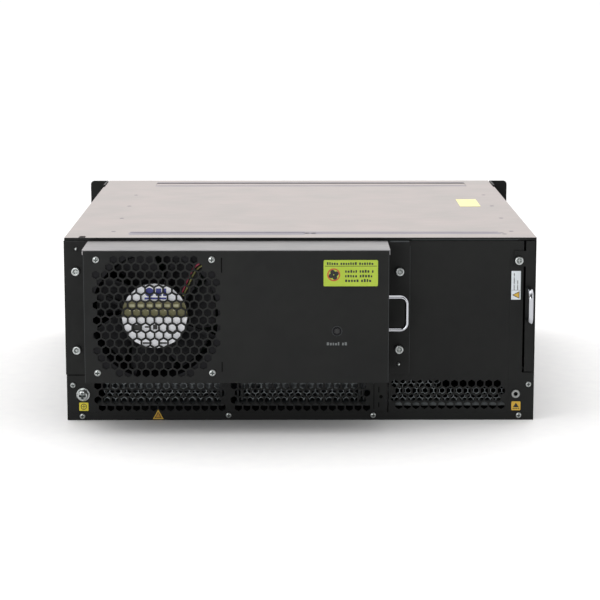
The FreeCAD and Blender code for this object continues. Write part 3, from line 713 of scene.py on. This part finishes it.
# %% [markdown]
# The motor's label is white vinyl on the seat that carries the fan's motor, printed with an olive
# band, blue marks above it and black ones below. Inks lie on the vinyl as thin films, so each is a
# plain finish on thin shapes. Ink upon ink stands one film further out, or the two would flicker.

# %% Print on the motor's label
FILM = 0.03
ink = moulded_plastic("black_print", "#1c1d1a", "#242522", 0.5)
blue_ink = moulded_plastic("blue_print", "#2b2f78", "#33388a", 0.5)
olive_ink = moulded_plastic("olive_print", "#6f6c47", "#666340", 0.5)
pale_ink = moulded_plastic("pale_print", "#b9b795", "#adab8a", 0.5)
orange_ink = moulded_plastic("orange_print", "#b4552a", "#a64c24", 0.5)
grey_ink = moulded_plastic("grey_print", "#6e7273", "#646869", 0.5)
brown_ink = moulded_plastic("brown_print", "#3a2c14", "#33270f", 0.5)
dark_amber = moulded_plastic("dark_amber_print", "#c08c28", "#b38224", 0.5)

fan = middle_of("motor_label")
label_y = edges_of("motor_label")[0][1]
thin_shapes("motor_band", [band_shape(fan[0], fan[2], 29.9, -1.2, 14.2)], label_y, olive_ink, "fan_tray")


def motor_bars(*bars):
    """Bars placed from the motor's middle, each given as across, up, width and height."""
    return [bar_shape(fan[0] + across, fan[2] + up, width, height) for across, up, width, height in bars]


blue_marks = [disc_shape(fan[0] - 4.5, fan[2] + 22.0, 4.2)]
blue_marks += motor_bars((1.5, 18.5, 5.0, 7.0), (8.0, 18.5, 3.0, 7.0), (-9.0, 15.4, 20.0, 1.8))
thin_shapes("motor_blue_marks", blue_marks, label_y, blue_ink, "fan_tray")
rows = ((8.2, 2.6), (4.6, 1.6))
pale_marks = motor_bars(*[(-23.0 + 8.0 * step, up, 5.0, tall) for up, tall in rows for step in range(6)])
thin_shapes("motor_pale_marks", pale_marks, label_y - FILM, pale_ink, "fan_tray")
ring_x, ring_z = fan[0] + 15.8, fan[2] - 11.5
black_marks = [disc_shape(ring_x, ring_z, 5.6)]
black_marks += motor_bars((-21.0, -13.5, 9.0, 5.5), (-9.0, -11.0, 5.5, 1.6), (-1.5, -12.5, 4.0, 4.5))
black_marks += motor_bars((-11.0, -26.0, 8.0, 1.6), (4.0, -26.0, 7.0, 1.6))
thin_shapes("motor_black_marks", black_marks, label_y, ink, "fan_tray")
thin_shapes("motor_white_dot", [disc_shape(ring_x, ring_z, 3.6)], label_y - FILM, white_vinyl, "fan_tray")

# %% [markdown]
# The tray carries a lime vinyl label with round corners. A line of print and a rule run along its
# top, three shorter lines stand at its right, and a ring with a four-bladed wheel at its left. The
# letters are bars of chance sizes, because at this size only their rhythm can be seen.

# %% The tray's label
low, high = edges_of("tray_label")
wide, thick, tall = high - low
fields = [bar_shape(low[0], low[2], wide, tall, corner=1.2)]
thin_shapes(
    "lime_label", fields, high[1], lime_vinyl, "fan_tray", thick, ("tray_label",)
)
lines = words(low[0] + 3.0, high[2] - 4.4, 43.0, 2.5, 1)
lines += [bar_shape(low[0] + 1.0, high[2] - 5.8, 47.4, 0.5)]
line_pitch = 4.3
for step in range(3):
    lines += words(low[0] + 19.6, high[2] - 11.6 - line_pitch * step, 26.5, 2.7, 2 + step)
thin_shapes("lime_label_print", lines, low[1], ink, "fan_tray")
wheel = (low[0] + 9.2, low[2] + 10.6)
thin_shapes("lime_label_ring", [disc_shape(*wheel, 6.0)], low[1], orange_ink, "fan_tray")
thin_shapes("lime_label_ring_field", [disc_shape(*wheel, 4.7)], low[1] - FILM, lime_vinyl, "fan_tray")
turns = np.arange(4) * np.pi / 2 + 0.4
petals = [disc_shape(wheel[0] + 2.6 * math.cos(a), wheel[1] + 2.6 * math.sin(a), 2.2, 16) for a in turns]
thin_shapes("lime_label_wheel", petals, low[1] - 2 * FILM, ink, "fan_tray")

# %% [markdown]
# A silver label stands upright beside the filter, with two lines of print turned along it and an
# amber arrow head in a dark rim at its foot. The rim and its field are one triangle at two sizes.

# %% Print on the silver label
low, high = edges_of("side_label")
lines = words(low[0] + 2.2, low[2] + 9.4, 16.0, 1.1, 7, upright=True)
lines += words(low[0] + 5.4, low[2] + 9.4, 9.0, 1.1, 8, upright=True)
lines += [bar_shape(low[0] + 0.2, low[2] + 8.8, 8.4, 0.25)]
thin_shapes("side_label_print", lines, low[1], ink, "chassis")
arrow = np.array([(low[0] + 0.8, low[2] + 4.4), (low[0] + 7.8, low[2] + 0.9), (low[0] + 7.8, low[2] + 7.9)])
middle = arrow.mean(axis=0)
thin_shapes("side_label_rim", [arrow], low[1], brown_ink, "chassis")
thin_shapes("side_label_arrow", [middle + (arrow - middle) * 0.72], low[1] - FILM, amber_vinyl, "chassis")

# %% [markdown]
# Two small square labels mark the earthing screw and the wrist-strap socket. The frame has both in
# one node, so its two solids are told apart by their place, and rounded fields take them over: the
# first replaces the node, and the second comes with it.

# %% Labels of the earthing screw and the socket
earth, socket = sorted(solids_of("panel_labels"), key=lambda place: place[0])
low, high = edges_of("panel_labels")
face, thick = low[1], high[1] - low[1]
earth_field = bar_shape(earth[0] - 4.35, earth[2] - 4.0, 8.7, 8.0, corner=0.7)
socket_field = bar_shape(socket[0] - 4.3, socket[2] - 4.3, 8.6, 8.6, corner=0.9)
pair = ("panel_labels",)
thin_shapes("earth_label", [earth_field], high[1], yellow_vinyl, "chassis", thick, pair)
thin_shapes("socket_label", [socket_field], high[1], amber_vinyl, "chassis", thick)
thin_shapes("earth_ring", [disc_shape(earth[0], earth[2], 2.9)], face, ink, "chassis")
thin_shapes("earth_field", [disc_shape(earth[0], earth[2], 2.3)], face - FILM, yellow_vinyl, "chassis")
arm, stroke = 2.0, 0.5
cross = [
    bar_shape(earth[0] - arm, earth[2] - stroke / 2, 2 * arm, stroke),
    bar_shape(earth[0] - stroke / 2, earth[2] - arm, stroke, 2 * arm),
]
thin_shapes("earth_cross", cross, face - 2 * FILM, ink, "chassis")
peak = [(socket[0] + side, socket[2] + rise) for side, rise in ((-2.9, -1.4), (2.9, -1.4), (0.0, 3.0))]
dashes = [bar_shape(socket[0] - 3.0 + 1.7 * k, socket[2] - 3.1, 1.1, 1.0) for k in range(4)]
thin_shapes("socket_marks", [peak] + dashes, face, ink, "chassis")
bore = middle_of("wrist_strap_jack")
# A painted shadow disc in the socket's bore.
thin_shapes("socket_shade", [disc_shape(bore[0], bore[2], 1.98)], REAR - 0.4, shadow_black, "chassis")

# %% [markdown]
# The amber sticker has a dark field inside its border and a lighter core in that. The three are
# one triangle at three sizes, each nearer to its middle. The frame gives the outermost.

# %% Amber sticker
low, high = edges_of("triangle_label")
centre = (low + high) / 2
peak = np.array([(low[0], low[2]), (high[0], low[2]), (centre[0], high[2])])
middle = peak.mean(axis=0)
thin_shapes("amber_field", [middle + (peak - middle) * 0.66], low[1], brown_ink, "chassis")
thin_shapes("amber_core", [middle + (peak - middle) * 0.48], low[1] - FILM, dark_amber, "chassis")

# %% [markdown]
# The tray's lamp sits in a smoked lens, with a low round collar about it and a line of print below.
# The collar is a turned ring: its profile is carried round the axis and closed on itself, so the
# surface is a torus with a flat foot.

# %% Lamp ring
lamp = middle_of("status_lens")
ring = [(4.9, 0.0), (4.85, 0.25), (4.5, 0.42), (4.1, 0.25), (4.0, 0.0)]
spokes = 36
points = turned(at_face([lamp], BOX_FACE), ring, spokes)
faces = grid_faces(len(ring), spokes, round_rows=True, round_columns=True)
make_piece("lamp_ring", points, faces, pale_black_and_edge_highlight, "fan_tray")
thin_shapes("lamp_well", [disc_shape(lamp[0], lamp[2], 3.95)], BOX_FACE, shaded_black_plastic, "fan_tray")
thin_shapes("lamp_print", words(lamp[0] - 9.3, lamp[2] - 13.2, 18.6, 2.9, 5), BOX_FACE, grey_ink, "fan_tray")

# %% [markdown]
# The bent and cut edges of black sheet catch the light as a thin paler line. A narrow line along each
# one paints that highlight: up both sides of the tray's face, round the flange, and along the header
# over the right-hand panel.

# %% Painted edge highlights
low, high = edges_of("tray_front")
lines = [bar_shape(x, low[2] + 0.5, 0.5, high[2] - low[2] - 4.0) for x in (low[0] + 0.15, high[0] - 0.65)]
thin_shapes("tray_edge_highlights", lines, BOX_FACE, pale_black_and_edge_highlight, "fan_tray")
low, high = edges_of("tray_flange")
lines = [
    bar_shape(high[0] - 0.55, low[2] + 1.0, 0.45, high[2] - low[2] - 6.0),
    bar_shape(low[0] + 1.0, high[2] - 0.5, 18.0, 0.4),
]
thin_shapes("flange_edge_highlights", lines, low[1], pale_black_and_edge_highlight, "fan_tray")
lines = [bar_shape(high[0] - 19.0, high[2] - 1.3, 17.6, 1.2)]
thin_shapes("flange_bright_edge_highlight", lines, low[1], edge_highlight_grey, "fan_tray")
header_foot = edges_of("rear_header")[0][2]
lines = [bar_shape(high[0] + 1.0, header_foot + 0.05, 100.0, 0.95)]
thin_shapes("header_edge_highlight", lines, REAR, pale_black_and_edge_highlight, "chassis")

# %% [markdown]
# Two narrow slots are punched beside the guard, and two more with a small hole beside the middle
# outlet. They are drawn as dark slivers on the sheet, since at a millimetre wide only their shade
# can be seen. The seams beside the hole and under the flange's left wing are drawn the same way.

# %% Narrow slots and seams
slivers = [bar_shape(-72.4, z, 1.0, tall) for z, tall in ((151.6, 13.8), (59.6, 9.2))]
thin_shapes("tray_slots", slivers, BOX_FACE, shadow_black, "fan_tray")
slivers = [bar_shape(73.7, z, 1.0, tall) for z, tall in ((26.7, 5.3), (12.4, 4.6))]
# The seam beside the hole and the one under the flange's left wing are painted shadow lines.
slivers += [disc_shape(76.3, 22.5, 1.7, 16), bar_shape(69.2, 10.5, 0.7, 24.0)]
slivers += [bar_shape(-219.4, 43.3, 20.4, 0.9)]
thin_shapes("panel_slots", slivers, REAR, shadow_black, "chassis")

# %% [markdown]
# A pressed bead is a shallow trough in the cover. The frame cuts its outline as a flat recess, and
# this surface lies in it: its depth follows the root of a sine across, so that it falls steeply at
# the sides and is flat in the middle, and it fades out at both ends. Its darker zinc is painted
# reflection and shade, and flat bands of painted shade lie along its edges.

# %% Beads of the cover
BEAD_X = (-163.0, 190.0)
cover_rise = edges_of("top_cover")[1][2]
cover_top = cover_rise + 0.02


def bead(name, y_low, y_high, depth=0.47):
    """A trough: z = top - depth sqrt(sin pi v) times an end factor that rises over 6 mm.

    Each station's line of points is closed by two more on the groove's floor, to give a solid.
    """
    run = 6
    x_low, x_high = BEAD_X
    x = np.concatenate([np.linspace(x_low, x_low + run, 7), np.linspace(x_high - run, x_high, 7)])
    grid_x, v = np.meshgrid(x, np.append(np.linspace(0, 1, 17), [1.0, 0.0]), indexing="ij")
    ends = np.clip(np.minimum(grid_x - x_low, x_high - grid_x) / run, 0, 1)
    z = cover_top - depth * np.sqrt(np.sin(np.pi * v).clip(0)) * np.sin(ends * np.pi / 2)
    z[:, -2:] = cover_top - depth - 0.03
    points = np.stack([grid_x, REAR + y_low + (y_high - y_low) * v, z], -1)
    make_piece(name, points, bar_faces(*v.shape), bead_shade_zinc, "chassis", sharp=60.0)


def crease_shade_band(name, y_low, wide, x_high=BEAD_X[1] - 1, material=bead_shade_zinc):
    """A flat band of painted shade along a bead, where its edge turns from the sheet: a box 0.04 mm thick."""
    x, y, z = np.meshgrid([BEAD_X[0] + 1, x_high], [0.0, wide], [-0.03, 0.01], indexing="ij")
    points = np.stack([x, REAR + y_low + y, cover_top + z], -1)
    faces = [(0, 1, 3, 2), (4, 6, 7, 5), (0, 4, 5, 1), (2, 3, 7, 6), (0, 2, 6, 4), (1, 5, 7, 3)]
    make_piece(name, points, faces, material, "chassis", sharp=20.0)


bead("rear_bead", 23.0, 33.0)
bead("front_bead_near", 381.0, 387.0)
bead("front_bead_far", 410.0, 416.0)
crease_shade_band("rear_crease_shade_near", 22.7, 3.0)
crease_shade_band("rear_crease_shade_far", 36.0, 3.2)
# The left half of the rear bead carries darker bands of painted shade.
left_half = 4.0  # the left half of the rear bead, where the sheet turns more sharply, ends at this x
crease_shade_band("rear_crease_shade_near_left", 18.4, 3.6, left_half)
crease_shade_band("rear_crease_shade_far_left", 33.2, 2.4, left_half, crease_shade_zinc)
crease_shade_band("front_crease_shade_near", 380.5, 3.0)
crease_shade_band("front_crease_shade_far", 412.5, 3.5)

# %% [markdown]
# Small round marks stand in a row along each side of the cover, in line with the walls of the card
# cage, and a few near the rear bead. Each is a turned dimple: four rings, one inside the next,
# closed above and below. They take the darker crease zinc, as painted shade.

# %% Dimples of the cover
dents = [(x, REAR + y) for x in (-178.5, 201.7) for y in (40.0, 128.0, 217.0, 305.0)]
dents += [(6.0, REAR + 31.0), (12.5, REAR + 31.0), (191.5, REAR + 30.0), (193.5, REAR + 23.0)]
spokes = 20
turn = np.linspace(0, 2 * np.pi, spokes, endpoint=False)
rings = np.array([(2.3, 0.0), (1.9, 0.1), (1.3, 0.04), (0.6, 0.02)])
radius, rise = rings[:, :1], np.repeat(rings[:, 1:], spokes, axis=1)
shape = np.stack([radius * np.cos(turn), radius * np.sin(turn), rise], -1)
points = np.array([(x, y, cover_rise) for x, y in dents])[:, None, None, :] + shape
faces = turned_faces(len(dents), len(rings), spokes)
make_piece("cover_dents", points, faces, crease_shade_zinc, "chassis")

# %% [markdown]
# Behind each outlet stands a second, finer honeycomb sheet of bare zinc, a screen against stray
# signals. Its cells are two thirds as wide as the outlet's, so the two patterns beat against each
# other. Each tile is a ring between two hexagons, front and back, and the tiles lie side by side.

# %% Honeycomb screens
PITCH = 5.4
ROW = PITCH * math.sqrt(3) / 2


def honeycomb_net(first_x, columns, first_z, rows, y, hidden, flats=4.6, thick=0.5):
    """Tiles of four loops of six corners: outer front, inner front, inner back, outer back.

    The tile in column i and row j stands at x = first_x + PITCH (i + j mod 2 / 2) and
    z = first_z + ROW j. Tiles past the hidden x in the upper two rows are left out.
    """
    turn = np.arange(6) * np.pi / 3
    corner = np.stack([np.sin(turn), np.zeros(6), np.cos(turn)], -1)
    outer, inner = corner * (PITCH - 0.02) / math.sqrt(3), corner * flats / math.sqrt(3)
    back = np.array([0, thick, 0])
    tile = np.stack([outer, inner, inner + back, outer + back])
    row, column = np.meshgrid(np.arange(rows), np.arange(columns), indexing="ij")
    x = first_x + PITCH * (column + 0.5 * (row % 2))
    middles = np.stack([x, np.full(x.shape, y), first_z + ROW * row], -1)
    middles = middles[(x < hidden) | (row < rows - 2)]
    points = middles[:, None, None, :] + tile
    loop = grid_faces(4, 6, round_rows=True, round_columns=True)
    faces = (loop[None] + 24 * np.arange(len(middles))[:, None, None]).reshape(-1, 4)
    return points, faces


def folded_strip(name, outline, x, material, body):
    """A strip of thin sheet with a constant (y, z) section, run from one x to another."""
    section = np.array(outline, float)
    ends = [np.column_stack([np.full(len(section), side), section]) for side in x]
    make_piece(name, np.stack(ends), bar_faces(2, len(section)), material, body, sharp=20.0)


def hanging_angle(y, z, run, drop, thick=1.0):
    """Section of an angle: a shelf that runs back under z, a round bend, and a hanging face."""
    bend = 2.6
    turn = np.linspace(0, np.pi / 2, 6)
    arc = np.stack([-np.sin(turn), np.cos(turn)], -1)
    middle = np.array([y + bend, z - bend])
    outside, inside = middle + bend * arc, middle + (bend - thick) * arc[::-1]
    foot = [(y, z - drop), (y + thick, z - drop)]
    return np.concatenate([[(y + run, z)], outside, foot, inside, [(y + run, z - thick)]])


# The first tile's x, the columns, the x where the upper rows end, and the foot's ends and finish
NO_END = 500.0
screens = {
    "left": (-184.0, 20, NO_END, (-193.0, -73.0), pale_black_and_edge_highlight),
    "middle": (-53.5, 20, NO_END, (-62.0, 66.0), pale_black_and_edge_highlight),
    "right": (86.3, 21, 131.0, (88.0, 196.0), dull_zinc),
}
foot_section = hanging_angle(REAR + 5.6, 17.2, 6.0, 4.6)
for side, (first_x, columns, hidden, foot_x, foot_finish) in screens.items():
    points, faces = honeycomb_net(first_x, columns, 17.3, 5, REAR + 8.0, hidden)
    make_piece(f"screen_{side}", points, faces, screen_zinc, "chassis", sharp=20.0)
    folded_strip(f"screen_foot_{side}", foot_section, foot_x, foot_finish, "chassis")
    print("screen", side, len(points), "tiles")

# %% [markdown]
# Narrow posts of black sheet stand at the ends of the left and the middle screen, where each one
# is held. They are plain bars just in front of it, so the thin printed shapes' function makes them.

# %% Posts of the screens
post_places = ((-77.0, 2.2), (-72.6, 1.6), (-60.4, 1.6), (-56.8, 2.2), (55.0, 2.2), (59.2, 1.6))
posts = [bar_shape(x, 17.8, wide, 25.5) for x, wide in post_places]
thin_shapes("screen_posts", posts, REAR + 7.6, pale_black_and_edge_highlight, "chassis", 0.8)

# %% [markdown]
# The rotor's blades are seen dimly through the guard. Each is a thin cambered section, twisted as
# it goes out, because the tip moves faster than the root and needs less pitch.

# %% Fan rotor
low, high = edges_of("fan_rotor")
axis = np.array([fan[0], 0.0, fan[2]])
hub_back, hub_front = high[1] - 24.0, high[1]
BLADES, STATIONS, AROUND = 7, 9, 20


def blade(azimuth):
    """Points of one blade: a section loop (c, n) turned by the pitch and wrapped round the axis.

    Along s from 0 to 1 the radius is 29.5 + 25.5 s, the pitch 34 - 14 s degrees and the half
    chord 17 + 5 s. The section is c = half chord cos t, n = 0.8 sin t + 1.4 sin(t)^2, and a
    point that lies a length along the arc turns by that length over the radius.
    """
    loop = np.linspace(0, 2 * np.pi, AROUND, endpoint=False)
    s, t = np.meshgrid(np.linspace(0, 1, STATIONS), loop, indexing="ij")
    radius, pitch = 29.5 + 25.5 * s, np.radians(34 - 14 * s)
    c, n = (17 + 5 * s) * np.cos(t), 0.8 * np.sin(t) + 1.4 * np.sin(t) ** 2
    along, up = c * np.cos(pitch) - n * np.sin(pitch), c * np.sin(pitch) + n * np.cos(pitch)
    turn = azimuth + np.radians(10) * s + along / radius
    points = [radius * np.cos(turn), up + (hub_back + hub_front) / 2, radius * np.sin(turn)]
    return np.stack(points, -1) + axis


hub = [(28.5, 0.0), (29.9, 0.6), (30.4, 2.0), (30.4, 22.0), (29.9, 23.4), (28.5, 24.0)]
shaft = [(2.0, 24.0), (2.0, 28.6)]
spokes = 48
points = [turned([(fan[0], hub_front, fan[2])], hub + shaft, spokes).reshape(-1, 3)]
faces = turned_faces(1, len(hub + shaft), spokes)
start = len(points[0])
for step in range(BLADES):
    points.append(blade(2 * np.pi * step / BLADES).reshape(-1, 3))
    faces += bar_faces(STATIONS, AROUND, start)
    start += STATIONS * AROUND
points = np.concatenate(points)
make_piece("rotor", points, faces, lit_blade_plastic, "fan_rotor", ("fan_rotor",))
